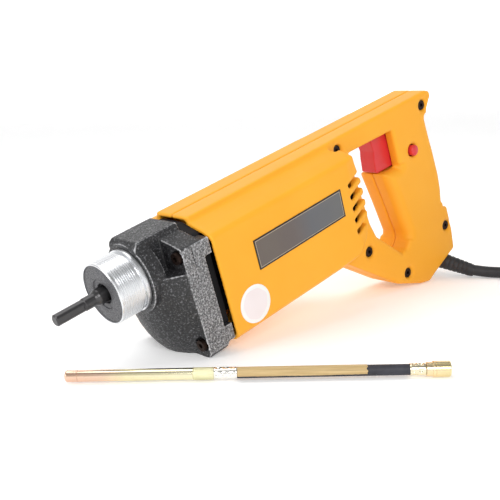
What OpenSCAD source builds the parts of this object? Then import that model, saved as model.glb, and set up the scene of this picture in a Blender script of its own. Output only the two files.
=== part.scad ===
// Hand-held electric concrete vibrator: a motor unit with a D-handle, its mains cord
// and the detached poker.  Everything except the cord and the poker is drawn in the tool
// frame: X runs along the output axis from the collar's face to the handle, Z is up,
// Y = 0 is the split between the two shells.  place() then stands the tool on its chin
// and its handle foot, which is how it rests on a bench.

/* [Rest pose] */
// Nose-down angle of the output axis when the tool stands on the bench
rest_pitch = 16; // [15.5:0.1:16.5]
// Distance of the chin's contact line behind the collar's face
chin_x = 46; // [44:1:48]
// Depth of the chin's contact line below the output axis
chin_drop = 67; // [66.5:0.5:67.5]

/* [Nose] */
// Radius of the threaded coupling collar
collar_r = 22.5; // [22:0.1:22.8]
// Length of the coupling collar
collar_len = 24; // [24:0.5:26]
// Pitch of the rings of the collar's thread
thread_pitch = 1.65; // [1.2:0.05:1.7]
// Radius of the drive shaft's free end
drive_r = 4.5; // [4:0.1:4.8]
// How far the drive shaft stands out of the collar
drive_len = 38; // [34:1:42]

/* [Motor box] */
// Front plane of the orange shell
shell_x = 69.3; // [69:0.1:70]
// Rear plane of the motor box
box_end = 216; // [215:0.5:217]
// Half width of the motor box
box_hw = 40.6; // [40:0.1:42]
// Wall thickness of the shells
wall = 3; // [2.5:0.1:3.2]

/* [Handle] */
// Half thickness of the handle and of the top spine
handle_hw = 18; // [16:0.5:19]
// Height of the flat top of the spine
spine_z = 28; // [27:0.5:29]
// Travel of the trigger
trigger_travel = 6; // [4:0.5:7]
// Travel of the lock button
lock_travel = 2.5; // [1.5:0.5:3]

/* [Poker] */
// Scale at which the poker is drawn beside the tool (1 is a full-size poker)
poker_scale = 0.22; // [0.2:0.01:0.25]
// Full-size diameter of the vibrating head
head_d = 35; // [32:1:38]
// Full-size length from the head's tip to the end of the coupling nut
poker_len = 1127; // [1100:1:1150]

/* [Cord] */
// Diameter of the mains cord
cord_d = 10; // [9.5:0.5:10]

/* [Hidden] */
$fn = 64;

// Gear pair: module and teeth, which set the motor axis below the output axis.
gear_module = 1;
pinion_teeth = 13;
wheel_teeth = 35;
motor_z = -gear_module * (pinion_teeth + wheel_teeth) / 2;

orange = "#f7a93b";
casting_grey = "#343437";
steel = "#b9bcc0";
dark_steel = "#55565a";
copper = "#b5703a";
black = "#1d1d20";
red = "#c8282b";
brass = "#c9b26a";

// ---- frames ------------------------------------------------------------------------

// Tool frame to bench frame: the chin's contact line becomes the origin.
module place() {
  rotate([0, -rest_pitch, 0]) translate([-chin_x, 0, chin_drop]) children();
}

// Solid from x0 to x1 with radius r about the line z = zc, in the tool frame.
module rod(x0, x1, r, zc = 0, yc = 0) {
  translate([x0, yc, zc]) rotate([0, 90, 0]) cylinder(h = x1 - x0, r = r);
}

// Ring from x0 to x1 between radii ri and ro.
module tube(x0, x1, ro, ri, zc = 0, yc = 0) {
  difference() {
    rod(x0, x1, ro, zc, yc);
    rod(x0 - 1, x1 + 1, ri, zc, yc);
  }
}

// Outline in X and Z, extruded from y0 to y1.
module side_plate(points, y0, y1) {
  translate([0, y1, 0]) rotate([90, 0, 0]) linear_extrude(y1 - y0) polygon(points);
}

// Outline in Y and Z, extruded from x0 to x1.
module cross_plate(points, x0, x1) {
  translate([x0, 0, 0]) rotate([90, 0, 90]) linear_extrude(x1 - x0) polygon(points);
}

// Pin along Y at x, z.
module cross_pin(x, z, y0, y1, r) {
  translate([x, y1, z]) rotate([90, 0, 0]) cylinder(h = y1 - y0, r = r);
}

// Outline mirrored about Y = 0, from its right half listed top to bottom.
function both_sides(half) =
  concat(half, [for (i = [len(half) - 1:-1:0]) [-half[i][0], half[i][1]]]);

// ---- shells ------------------------------------------------------------------------

box_bottom = -66;
box_section = both_sides([
  [handle_hw, spine_z], [handle_hw + 1, 24], [31, 20.5], [box_hw - 2, 17.5],
  [box_hw, 15], [box_hw, -61], [box_hw - 6, box_bottom]]);
box_inner = both_sides([
  [handle_hw - wall, spine_z - wall], [handle_hw - wall, 20.5], [29.5, 17.2],
  [box_hw - wall, 13], [box_hw - wall, -59.5], [box_hw - 7.5, box_bottom + wall]]);

// Rear end of the box seen from the side.
box_side = [
  [shell_x, spine_z + 5], [box_end + 2, spine_z + 5], [box_end + 3, 18], [box_end + 5.5, 6],
  [box_end + 8.6, -7], [box_end + 9.6, -22], [box_end + 8.6, -35], [box_end + 5.5, -45],
  [box_end + 1, -53], [box_end - 10, -61], [box_end - 26, box_bottom - 1],
  [shell_x, box_bottom - 1]];
// Plan outline of the box: the rear corners are drawn in a little.
box_plan = concat(
  [[shell_x, -box_hw - 1], [box_end - 12, -box_hw - 1], [box_end + 9.6, 3 - box_hw]],
  [[box_end + 13, -28], [box_end + 13, 28]],
  [[box_end + 9.6, box_hw - 3], [box_end - 12, box_hw + 1], [shell_x, box_hw + 1]]);

handle_outer = [
  [shell_x, spine_z], [346, spine_z], [351, 26], [352, 21], [345, 12], [342, 4],
  [344, -14], [346, -27], [348.5, -50], [348.5, -64], [346, -82], [351, -84], [353, -108],
  [352, -127], [319, -138], [310, -141.8], [298, -138.4], [268, -124], [208, -74],
  [186, -64], [150, -60], [shell_x, 0]];
finger_gap = [
  [238, 10.5], [294, 9.5], [296, -24.5], [278, -24], [286, -56], [293, -87],
  [291.5, -93], [287, -97.5], [280, -99], [252, -70], [247, -55], [244, -30], [240, -6]];
grip_inner = [
  [302, 24.5], [342, 24.5], [340, 13], [337.5, 4], [340, -22], [343.5, -50], [343.5, -66],
  [342, -86], [347, -89], [348, -122], [320, -133], [306, -136], [296, -131],
  [298, -106], [299, -88], [291, -56], [284.5, -29], [302, -29]];
bar_inner = [
  [222, -66], [238, -62], [276, -104], [292, -108], [289, -128], [266, -117]];
spine_inner = [[shell_x + 4, 24.5], [302.5, 24.5], [302.5, 14.5], [shell_x + 4, 14.5]];

// Screws through the shells: x and z of each.
shell_screw_at = [[339, 17], [345.5, -101], [240, -79], [283, -120], [226, 17.5]];
// Depth of the screws' recesses in the left side.
screw_recess = 5;

vent_count = 5;
vent_pitch = 9.7;
vent_top = -4;

module vent_cuts() {
  for (i = [0:vent_count - 1])
    translate([box_end - 9, 0, vent_top - i * vent_pitch])
      rotate([0, -14, 0]) translate([0, -60, -2.1]) cube([40, 120, 4.2]);
}

// Both shells as one body, before they are split.
module shell_outer() {
  intersection() {
    cross_plate(box_section, shell_x, box_end + 30);
    side_plate(box_side, -60, 60);
    translate([0, 0, -100]) linear_extrude(200) polygon(box_plan);
  }
  difference() {
    side_plate(handle_outer, -handle_hw, handle_hw);
    side_plate(finger_gap, -40, 40);
  }
}

module shell_cavity() {
  intersection() {
    cross_plate(box_inner, shell_x - 1, box_end + 5);
    translate([0, 0, -100]) linear_extrude(200) polygon([
      [shell_x - 2, -60], [box_end - 12, -60], [box_end - 3, -35.4], [box_end + 6, -34.4],
      [box_end + 6, 34.4], [box_end - 3, 35.4], [box_end - 12, 60], [shell_x - 2, 60]]);
    side_plate([
      [shell_x - 2, 40], [box_end - 4, 40], [box_end - 4, 5], [box_end + 4, -22],
      [box_end, -44], [box_end - 14, -57], [box_end - 28, -80], [shell_x - 2, -80]], -60, 60);
  }
  side_plate(grip_inner, wall - handle_hw, handle_hw - wall);
  side_plate(bar_inner, wall - handle_hw, handle_hw - wall);
  side_plate(spine_inner, wall - handle_hw, handle_hw - wall);
}

// Trigger slot, lock-button hole, cord gland and vents.
module shell_openings() {
  translate([286, -trigger_hw - 0.4, -25]) cube([24, 2 * trigger_hw + 0.8, 34.7]);
  for (s = [-1, 1]) translate([box_end - 2, s * 22.5 - 3.5, 11]) cube([20, 7, 20]);
  translate([gland_at[0], 0, gland_at[1]]) rotate([0, 180 - gland_tilt, 0])
    translate([0, 0, -12]) cylinder(h = 40, r = gland_r);
  intersection() {
    vent_cuts();
    difference() {
      translate([box_end - 10, -60, -60]) cube([40, 120, 80]);
      translate([box_end - 20, -20, -60]) cube([60, 40, 80]);
    }
  }
}

// Bosses for the shell screws and the ribs that hold the motor.
module shell_ribs() {
  intersection() {
    shell_outer();
    union() {
      for (p = shell_screw_at) cross_pin(p[0], p[1], -handle_hw, handle_hw, 6.5);
      translate([rear_bearing_x - 1, -40, motor_z - 40]) cube([9, 80, 76]);
      translate([baffle_x - 3, -40, motor_z - 45]) cube([2.4, 80, 90]);
    }
  }
}

module shell_body() {
  difference() {
    union() {
      difference() {
        shell_outer();
        shell_cavity();
      }
      difference() {
        shell_ribs();
        rod(rear_bearing_x - 2, rear_bearing_x + 10, 11.05, motor_z);
        rod(baffle_x - 5, baffle_x + 3, 34.6, motor_z);
        side_plate(spine_inner, 6 - handle_hw, handle_hw - 6);
      }
    }
    shell_openings();
  }
}

module shell_left() {
  color(orange) difference() {
    intersection() {
      shell_body();
      translate([0, -100, -200]) cube([400, 99.98, 300]);
    }
    cross_pin(lock_at[0], lock_at[1], -30, -8, lock_r + 0.3);
    for (p = shell_screw_at) {
      cross_pin(p[0], p[1], -30, 1, 2.1);
      cross_pin(p[0], p[1], -30, screw_recess - handle_hw, 4.7);
    }
  }
}

module shell_right() {
  color(orange) difference() {
    intersection() {
      shell_body();
      translate([0, 0.02, -200]) cube([400, 99.98, 300]);
    }
    for (p = shell_screw_at) cross_pin(p[0], p[1], -1, 13, 2.1);
  }
}

// Screws whose heads sit on the floor of the left shell's recesses.
module shell_screws() {
  seat = screw_recess - handle_hw - 0.02;
  color(steel) for (p = shell_screw_at) difference() {
    union() {
      cross_pin(p[0], p[1], seat - 1, 12, 2);
      cross_pin(p[0], p[1], seat - 3.2, seat, 4.1);
    }
    cross_pin(p[0], p[1], seat - 4, seat - 1.4, 1.6);
  }
}

// ---- nose --------------------------------------------------------------------------

case_x0 = collar_len;
case_x1 = 62;
case_hw = 38;
case_section = both_sides([
  [15, 27.5], [17, 22.5], [30, 19.5], [case_hw - 1, 17.5], [case_hw, 14],
  [case_hw, -63], [case_hw - 3, -66.5], [20, -68.4]]);
lug_at = [[32, 11], [32, -56]];

// Side view of the casting: the chin is cut parallel to the bench.
case_side = [
  [case_x0, 24], [case_x0 + 4, 28], [case_x1, 32], [case_x1, -70], [chin_x + 14, -70.5],
  [chin_x + 9, -chin_drop - 9 * tan(rest_pitch)], [chin_x - 9, -chin_drop + 9 * tan(rest_pitch)],
  [case_x0, -50]];

// The belly is turned about an upright line behind it, and it draws in below belly_z.
belly_r = 44.9;
belly_sag_r = 68;
belly_z = -25;
belly = concat([[0, 0], [belly_r, 0]], [for (z = [belly_z:-8:-73])
  [belly_r - belly_sag_r + sqrt(belly_sag_r ^ 2 - (z - belly_z) ^ 2), z]], [[0, -73]]);

// Front of the square part of the casting, behind the belly and the screw pockets.
shoulder_x = 44.5;
block_hw = 16;

module gear_case_outer() {
  intersection() {
    cross_plate(case_section, case_x0, case_x1);
    side_plate(case_side, -60, 60);
    union() {
      translate([case_x0 + belly_r, 0, 0]) rotate_extrude() polygon(belly);
      translate([shoulder_x, -60, -80]) cube([40, 120, 140]);
      translate([case_x0, -block_hw, -20]) cube([60, 2 * block_hw, 60]);
    }
  }
  rod(case_x0, case_x0 + 12, 26);
  for (p = lug_at) for (s = [-1, 1])
    translate([case_x1 - 14, s * p[0] - 6, p[1] - 6]) cube([20.5, 12, 12]);
}

module gear_case() {
  color(casting_grey) difference() {
    gear_case_outer();
    // Room for the gears, and more width behind the shoulder.
    translate([case_x0 + 9, -13, -45]) cube([40, 26, 64]);
    translate([case_x0 + 18, -21, -50]) cube([40, 42, 46]);
    translate([shoulder_x + 3, -25, -58]) cube([40, 50, 76]);
    rod(case_x0 - 1, case_x0 + 12, 17);
    for (p = lug_at) for (s = [-1, 1]) {
      rod(20, 90, 2.3, p[1], s * p[0]);
      rod(20, case_x1 - 16, 5.2, p[1], s * p[0]);
    }
  }
}

module case_screws() {
  color(steel) for (p = lug_at) for (s = [-1, 1]) {
    rod(case_x1 - 17, 86, 2.1, p[1], s * p[0]);
    difference() {
      rod(case_x1 - 20, case_x1 - 16.02, 4.2, p[1], s * p[0]);
      rod(case_x1 - 21, case_x1 - 17.5, 2, p[1], s * p[0], $fn = 6);
    }
  }
}

// Plate behind the casting: it carries the output shaft's rear bearing and the armature's
// front bearing, and shows as the black band in front of the shell.
plate_x0 = case_x1 + 0.1;
plate_x1 = shell_x - 0.1;
plate_section = both_sides([
  [12, 24], [26, 19], [33, 14], [34, 10], [34, -55], [30, -62]]);

module bearing_plate() {
  color(black) difference() {
    union() {
      cross_plate(plate_section, plate_x0, plate_x1);
      rod(plate_x1 - 1, plate_x1 + 8, 15, motor_z);
    }
    rod(plate_x0 - 1, plate_x1 - 1.2, 8.05);
    rod(plate_x1 - 2, plate_x1 + 9, 11.05, motor_z);
    rod(plate_x0 - 1, plate_x1, 8.5, motor_z);
    for (p = lug_at) for (s = [-1, 1])
      translate([plate_x0 - 1, s * p[0] - 6.2, p[1] - 6.2]) cube([10, 12.4, 12.4]);
  }
}

module coupling_collar() {
  thread_n = 9;
  color("#d8dade") difference() {
    union() {
      rod(0, case_x0 - 0.05, collar_r - 0.6);
      rod(0, 2.5, collar_r);
      for (i = [0:thread_n - 1])
        rod(2.9 + i * thread_pitch, 2.9 + (i + 0.6) * thread_pitch, collar_r);
      rod(case_x0 - 3.2, case_x0 - 0.05, collar_r + 0.3);
      rod(case_x0 - 1, case_x0 + 11, 16.95);
    }
    rod(-1, 3, collar_r - 1.2);
    rod(2, case_x0 + 12, 14);
    rod(6, case_x0 + 12, 14.05);
  }
}

module nose_disc() {
  color("#57575b") difference() {
    rod(0.4, 2.9, collar_r - 1.25);
    rod(-1, 1.4, 11);
    rod(-1, 4, 7.6);
  }
}

module shaft_seal() {
  color(black) tube(3.1, 6.9, 13.95, 6.1);
}

front_bearing_x = 9;
module ball_bearing(x0, width, ro, ri, zc) {
  mid = (ro + ri) / 2;
  third = (ro - ri) / 3;
  color(steel) {
    tube(x0, x0 + width, ro, ro - third, zc);
    tube(x0, x0 + width, ri + third, ri, zc);
    tube(x0 + width / 2 - 0.5, x0 + width / 2 + 0.5, ro - third + 0.02, ri + third - 0.02, zc);
    for (i = [0:6])
      translate([x0 + width / 2, mid * cos(i * 360 / 7), zc + mid * sin(i * 360 / 7)])
        sphere(r = third * 0.62, $fn = 24);
  }
}
module output_front_bearing() { ball_bearing(front_bearing_x, 10, 14, 6.03, 0); }
module output_rear_bearing() { color(brass) tube(plate_x0 + 0.4, plate_x0 + 5.8, 8, 3.03); }

// ---- output train ------------------------------------------------------------------

wheel_x = 48.3;
wheel_w = 10;

module output_shaft() {
  color(dark_steel) difference() {
    union() {
      rod(1 - drive_len, -15, drive_r - 0.35);
      rod(-16, -4, drive_r);
      translate([-drive_len, 0, 0]) rotate([0, 90, 0])
        cylinder(h = 1.01, r1 = drive_r - 1.35, r2 = drive_r - 0.35);
      rod(-5, 24, 5.95);
      rod(23, 60, 5);
      rod(59, plate_x0 + 5.8, 2.98);
    }
    translate([-drive_len - 1, -drive_r - 2, -4]) cube([drive_len - 16, 2.8, 8]);
  }
}

// Spur gear outline: teeth are narrow trapezoids, so the pair runs with backlash.
function tooth_corner(n, i, r, share) =
  [r * cos(360 / n * (i + share)), r * sin(360 / n * (i + share))];
module spur_gear(n, width) {
  rp = n * gear_module / 2;
  linear_extrude(width) polygon([for (i = [0:n - 1]) each [
    tooth_corner(n, i, rp - 1.2, -0.27), tooth_corner(n, i, rp, -0.2),
    tooth_corner(n, i, rp + 0.85, -0.1), tooth_corner(n, i, rp + 0.85, 0.1),
    tooth_corner(n, i, rp, 0.2), tooth_corner(n, i, rp - 1.2, 0.27)]]);
}

module output_gear() {
  color(steel) translate([wheel_x, 0, 0]) rotate([0, 90, 0]) difference() {
    union() {
      spur_gear(wheel_teeth, wheel_w);
      translate([0, 0, -3]) cylinder(h = 3.01, r = 9);
    }
    translate([0, 0, -4]) cylinder(h = 20, r = 5.01);
    for (i = [0:4]) rotate(36 + i * 72) translate([10.8, 0, -1]) cylinder(h = 20, r = 2.2, $fn = 24);
  }
}

// ---- motor -------------------------------------------------------------------------

baffle_x = 98;
core_x0 = 106;
core_len = 44;
comm_x = 164;
rear_bearing_x = 190;

module armature_shaft() {
  color(steel) {
    rod(wheel_x - 2, wheel_x + wheel_w + 1.3, 3, motor_z);
    rod(wheel_x + wheel_w + 1.2, rear_bearing_x + 7.5, 3.97, motor_z);
  }
}

module pinion() {
  color(dark_steel) translate([wheel_x - 1, 0, motor_z]) rotate([0, 90, 0]) difference() {
    spur_gear(pinion_teeth, wheel_w + 2);
    translate([0, 0, -1]) cylinder(h = 20, r = 3.01);
  }
}

module armature_core() {
  slots = 12;
  color("#6e6f73") translate([core_x0, 0, motor_z]) rotate([0, 90, 0]) difference() {
    cylinder(h = core_len, r = 21);
    translate([0, 0, -1]) cylinder(h = core_len + 2, r = 3.99);
    for (i = [0:slots - 1]) rotate(i * 360 / slots) {
      translate([19.2, -1, -1]) cube([3, 2, core_len + 2]);
      translate([15.5, 0, -1]) cylinder(h = core_len + 2, r = 2.6, $fn = 24);
    }
  }
}

module armature_windings() {
  slots = 12;
  color(copper) {
    tube(core_x0 - 7, core_x0 - 0.02, 18, 6.5, motor_z);
    tube(core_x0 + core_len + 0.02, core_x0 + core_len + 7, 18, 6.5, motor_z);
    translate([core_x0 - 1, 0, motor_z]) rotate([0, 90, 0]) for (i = [0:slots - 1])
      rotate(i * 360 / slots) translate([15.5, 0, 0]) cylinder(h = core_len + 2, r = 2.4, $fn = 24);
  }
}

module commutator() {
  bars = 24;
  color(copper) translate([comm_x, 0, motor_z]) rotate([0, 90, 0]) difference() {
    union() {
      cylinder(h = 14, r = 11);
      translate([0, 0, -2.5]) cylinder(h = 2.51, r = 13);
    }
    translate([0, 0, -4]) cylinder(h = 24, r = 3.99);
    for (i = [0:bars - 1]) rotate(i * 360 / bars) translate([9.8, -0.3, -4]) cube([5, 0.6, 24]);
  }
}

module cooling_fan() {
  blades = 11;
  color("#2c2d31") translate([82, 0, motor_z]) rotate([0, 90, 0]) difference() {
    union() {
      cylinder(h = 2.4, r = 32);
      cylinder(h = 11, r = 8);
      for (i = [0:blades - 1]) rotate(i * 360 / blades) translate([14, -1, 0]) rotate(-18)
        cube([17, 2, 11]);
    }
    translate([0, 0, -1]) cylinder(h = 20, r = 3.99);
  }
}

module armature_front_bearing() { ball_bearing(plate_x1 - 0.5, 7.5, 11, 4.03, motor_z); }
module armature_rear_bearing() { ball_bearing(rear_bearing_x, 7, 11, 4.03, motor_z); }

module stator_core() {
  color("#7d7e82") intersection() {
    difference() {
      rod(core_x0 - 2, core_x0 + core_len + 2, 36.8, motor_z);
      rod(core_x0 - 3, core_x0 + core_len + 3, 21.7, motor_z);
      for (s = [-1, 1]) translate([core_x0 - 3, s * 26 - 7, motor_z - 9]) cube([core_len + 6, 14, 18]);
      for (s = [-1, 1]) translate([core_x0 - 3, s * 18 - 3, motor_z - 9]) cube([core_len + 6, 6, 18]);
    }
    translate([core_x0 - 3, -36.5, motor_z - 38]) cube([core_len + 6, 73, 74]);
  }
}

module stator_windings() {
  color(copper) for (s = [-1, 1]) {
    translate([core_x0 - 8, s * 27.5 - 5, motor_z - 8.4]) cube([core_len + 16, 10, 16.8]);
    for (x = [core_x0 - 8, core_x0 + core_len + 2.1])
      intersection() {
        tube(x, x + 5.9, 33, 22.5, motor_z);
        translate([x, s > 0 ? 0.4 : -40, motor_z - 40]) cube([6, 39.6, 80]);
      }
  }
}

module fan_baffle() {
  color(black) difference() {
    rod(baffle_x - 2.8, baffle_x - 0.8, 34.4, motor_z);
    rod(baffle_x - 4, baffle_x + 1, 22, motor_z);
  }
}

module brush_holders() {
  color(brass) for (s = [-1, 1]) translate([comm_x + 2, 0, motor_z - 5.5]) difference() {
    translate([0, s > 0 ? 13 : -34, 0]) cube([11, 21, 11]);
    translate([1.5, s > 0 ? 12 : -32.5, 1.5]) cube([8, 20.5, 8]);
  }
}

module carbon_brushes() {
  color("#2b2b2d") for (s = [-1, 1]) difference() {
    translate([comm_x + 3.6, s > 0 ? 8 : -24, motor_z - 3.9]) cube([7.8, 16, 7.8]);
    rod(comm_x, comm_x + 16, 11.08, motor_z);
  }
}

// A coil spring drawn as a stack of rings joined by a thin core sleeve.
module spring_y(x, z, y0, y1, r, wire, turns) {
  step = (y1 - y0 - 2 * wire) / (turns - 1);
  for (i = [0:turns - 1])
    translate([x, y0 + wire + i * step, z]) rotate([90, 0, 0])
      rotate_extrude($fn = 32) translate([r, 0]) circle(r = wire, $fn = 16);
  difference() {
    cross_pin(x, z, y0 + wire, y1 - wire, r + 0.15);
    cross_pin(x, z, y0 - 1, y1 + 1, r - 0.15);
  }
}

module brush_springs() {
  color(steel) {
    spring_y(comm_x + 7.5, motor_z, 24.1, 32.4, 2.6, 0.4, 6);
    spring_y(comm_x + 7.5, motor_z, -32.4, -24.1, 2.6, 0.4, 6);
  }
}

// ---- switch ------------------------------------------------------------------------

trigger_hw = 8;
trigger_side = [
  [275.2, 9.1], [300, 9.1], [300, -23.2], [278, -23.2], [275.8, -21.5], [276.4, -10],
  [277.6, -4]];

module trigger() {
  color(red) {
    side_plate(trigger_side, -trigger_hw, trigger_hw);
    rod(299, 304, 3, -7);
  }
}

module switch_body() {
  color(black) difference() {
    translate([307, -11, -24]) cube([25, 22, 36]);
    rod(306, 318, 3.4, -7);
    translate([lock_at[0] - 5, -12, lock_at[1] - 4.4]) cube([10, 6, 8.8]);
  }
}

module trigger_spring() {
  color(steel) translate([0, 0, -7]) rotate([0, 0, -90])
    spring_y(0, 0, 300.1, 306.9, 4.4, 0.45, 4);
}

lock_at = [316, -16];
lock_r = 4.8;

module lock_button() {
  color(red) {
    cross_pin(lock_at[0], lock_at[1], -handle_hw - 3.4, 1.6 - handle_hw + 2, lock_r);
    cross_pin(lock_at[0], lock_at[1], 3.5 - handle_hw, -10, 2.2);
  }
}

module lock_spring() {
  color(steel) spring_y(lock_at[0], lock_at[1], 3.7 - handle_hw, -6.1, 3.2, 0.35, 5);
}

module capacitor() {
  color("#c9a227") translate([310, -7, -48]) cube([20, 14, 16]);
}

module lead_wires() {
  color("#2f5fa8") {
    side_plate([[180, 23], [306, 23], [306, 20.5], [180, 20.5]], -6, -3.5);
    side_plate([[180, 23], [306, 23], [306, 20.5], [180, 20.5]], 3.5, 6);
    side_plate([[318, -49], [320.5, -49], [327, -108], [324.5, -108]], -6, -3.5);
    side_plate([[318, -49], [320.5, -49], [327, -108], [324.5, -108]], 3.5, 6);
  }
}

module cord_clamp() {
  color(black) difference() {
    translate([312, -13, -118]) cube([26, 26, 6]);
    for (s = [-1, 1]) translate([325, s * 9.5, -120]) cylinder(h = 10, r = 1.7, $fn = 24);
  }
}

module clamp_screws() {
  color(steel) for (s = [-1, 1]) translate([325, s * 9.5, 0]) {
    translate([0, 0, -124]) cylinder(h = 12, r = 1.6, $fn = 24);
    translate([0, 0, -111.95]) cylinder(h = 2, r = 3, $fn = 24);
  }
}

// ---- plates on the left side -------------------------------------------------------

module nameplate() {
  color("#8c8375") side_plate([[102.5, -1.8], [196.5, -1.2], [196.5, -23.8], [102.5, -24.8]],
    -box_hw - 0.6, -box_hw - 0.02);
}

module badge() {
  color("#f3e9e6") cross_pin(91, -46, -box_hw - 0.4, -box_hw - 0.02, 14.2);
}

// ---- cord --------------------------------------------------------------------------

// Where the cord leaves the handle, in the tool frame, and its direction in that frame.
gland_at = [336, -131];
gland_tilt = 18;
gland_r = 8;

// Route of the cord on the bench, in the bench frame, from the boot to the coil.
cord_route = [
  [313, -33, 7.5], [318, -41, 6.2], [325, -50, 5.2], [334, -60, 5], [345, -70, 5],
  [357, -79, 5], [368, -88, 5], [378, -97, 5]];
boot_root = [299, -1, 17];
boot_end = [313, -33, 7.5];
coil_at = [344, -146];
coil_r_in = 50;
coil_r_out = 60;
coil_layers = 3;
// The last stretch, from the coil's top layer down to the plug.
tail_route = [
  [404, -146, 25], [404, -160, 25], [405, -174, 23], [407, -188, 18], [410, -201, 12],
  [415, -214, 7.5], [421, -226, 6.5], [429, -237, 6.5]];

function unit(v) = v / norm(v);
// Direction of the route at point i.
function heading(pts, i) =
  unit(pts[min(i + 1, len(pts) - 1)] - pts[max(i - 1, 0)]);

// One swept tube of radius r along a route, or from r0 to r1 when it tapers.
module swept_tube(pts, r0, r1, sides = 10) {
  n = len(pts);
  ring = [for (i = [0:n - 1])
    let (t = heading(pts, i), a = unit(cross([0, 0, 1], t)), b = cross(t, a),
         r = r0 + (r1 - r0) * i / (n - 1))
    for (k = [0:sides - 1])
      pts[i] + r * (cos(k * 360 / sides) * a + sin(k * 360 / sides) * b)];
  walls = [for (i = [0:n - 2]) for (k = [0:sides - 1])
    let (m = (k + 1) % sides)
    [i * sides + k, i * sides + m, (i + 1) * sides + m, (i + 1) * sides + k]];
  polyhedron(
    points = ring,
    faces = concat(
      [[for (k = [sides - 1:-1:0]) k]],
      walls,
      [[for (k = [0:sides - 1]) (n - 1) * sides + k]]));
}

// Moulded boot, thick at the handle and tapering towards the cord.
module strain_relief() {
  color(black) hull() {
    translate(boot_root) sphere(r = gland_r - 0.1, $fn = 32);
    translate(boot_end) sphere(r = cord_d / 2 + 1, $fn = 32);
  }
}

module cord_tube() {
  color(black) {
    swept_tube(cord_route, cord_d / 2, cord_d / 2);
    swept_tube(tail_route, cord_d / 2, cord_d / 2);
  }
}

module cord_coil() {
  color(black) translate([coil_at[0], coil_at[1], 0]) rotate_extrude($fn = 96) polygon([
    [coil_r_in - cord_d / 2, 0], [coil_r_out + cord_d / 2, 0],
    [coil_r_out + cord_d / 2, coil_layers * cord_d],
    [coil_r_out - cord_d / 2, coil_layers * cord_d],
    [coil_r_out - cord_d / 2 - 2, 2 * cord_d], [coil_r_in - cord_d / 2, 2 * cord_d]]);
}

module coil_tie() {
  color("#3a3a3e") translate([coil_at[0] - 55, coil_at[1], 0]) mirror([1, 0, 0]) difference() {
    translate([-12, -4, 0.2]) cube([23.6, 8, 31.4]);
    translate([-10.3, -5, -1]) cube([20.5, 10, 31.2]);
  }
}

plug_at = [429, -237, 6.5];
plug_turn = -54;
module plug_body() {
  color(black) translate(plug_at) rotate([0, 90, plug_turn]) intersection() {
    rotate_extrude($fn = 48) polygon([
      [0, 0], [6, 0], [6.4, 10], [8, 16], [15, 22], [17, 26], [17, 42], [0, 42]]);
    translate([-12, -20, -1]) cube([18.4, 40, 60]);
  }
}

module plug_pins() {
  color(steel) translate(plug_at) rotate([0, 90, plug_turn]) for (s = [-1, 1])
    translate([-2, s * 9.5, 42.02]) {
      cylinder(h = 17.5, r = 2.4, $fn = 32);
      translate([0, 0, 17.4]) cylinder(h = 1.4, r1 = 2.4, r2 = 1.3, $fn = 32);
    }
}

// ---- poker -------------------------------------------------------------------------

// Bench point below the head's tip, and the direction in which the poker lies.
poker_at = [-98, -5];
poker_turn = -43;
nut_d = 47;

// Full-size poker lying along X, its axis at the height of the coupling nut's radius.
module poker_place() {
  translate([poker_at[0], poker_at[1], 0]) rotate(poker_turn) scale(poker_scale)
    translate([0, 0, nut_d / 2]) children();
}

head_end = 380;
ring_end = 440;
ferrule_end = 508;
hose_end = 1010;
sleeve_end = 886;
tail_end = 1056;
hose_r = 16.5;

module poker_tip() {
  color(brass) poker_place() intersection() {
    union() {
      translate([head_d / 2, 0, 0]) sphere(r = head_d / 2);
      rod(head_d / 2, 39.9, head_d / 2);
      rod(39, 55, head_d / 2 - 5.1);
    }
    translate([0, -50, -50]) cube([100, 100, 100]);
  }
}

module poker_tube() {
  color(brass) poker_place() tube(40, head_end, head_d / 2, head_d / 2 - 5);
}

module poker_ring() {
  color("#dccb8e") poker_place() tube(head_end + 0.1, ring_end, head_d / 2 + 0.7, head_d / 2 - 6);
}

module front_ferrule() {
  color("#d9cf9f") poker_place() difference() {
    rod(ring_end + 0.1, ferrule_end, head_d / 2 + 0.5);
    rod(ring_end - 1, ring_end + 20, 11);
    rod(ring_end + 19, ferrule_end + 1, hose_r + 0.1);
  }
}

module hose() {
  color(black) poker_place() tube(ring_end + 20.1, hose_end + 20, hose_r, 9);
}

module hose_sleeve() {
  color("#c9ae6e") poker_place() tube(ferrule_end + 0.2, sleeve_end, hose_r + 1, hose_r + 0.1);
}

module rear_ferrule() {
  color("#d9cf9f") poker_place() difference() {
    rod(hose_end, tail_end, head_d / 2 + 0.5);
    rod(hose_end - 1, hose_end + 20.1, hose_r + 0.1);
    rod(hose_end + 19, hose_end + 32, 12);
    rod(hose_end + 30, tail_end + 1, 13);
  }
}

// The nut turns freely on a flange behind the rear ferrule.
module coupling_nut() {
  color(brass) poker_place() difference() {
    union() {
      rod(tail_end + 21, poker_len, nut_d / 2);
      rod(tail_end + 1, tail_end + 21.1, head_d / 2 + 3);
    }
    rod(tail_end, poker_len - 40, 13.9);
    rod(poker_len - 41, poker_len + 1, nut_d / 2 - 2.5);
  }
}

module drive_core() {
  color(dark_steel) poker_place() {
    rod(hose_end + 20.4, poker_len - 14, 7);
    rod(360, hose_end + 21, 6);
  }
}

module eccentric_rotor() {
  color(steel) poker_place() {
    rod(62, 96, 5);
    rod(330, 359.9, 5);
    intersection() {
      rod(95, 331, 11.4);
      translate([90, -20, -2]) cube([250, 40, 20]);
    }
  }
}

module poker_bearings() {
  color(dark_steel) poker_place() {
    tube(66, 82, head_d / 2 - 5.05, 5.4);
    tube(344, 360, head_d / 2 - 5.05, 5.4);
  }
}

// ---- drawing -----------------------------------------------------------------------

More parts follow.
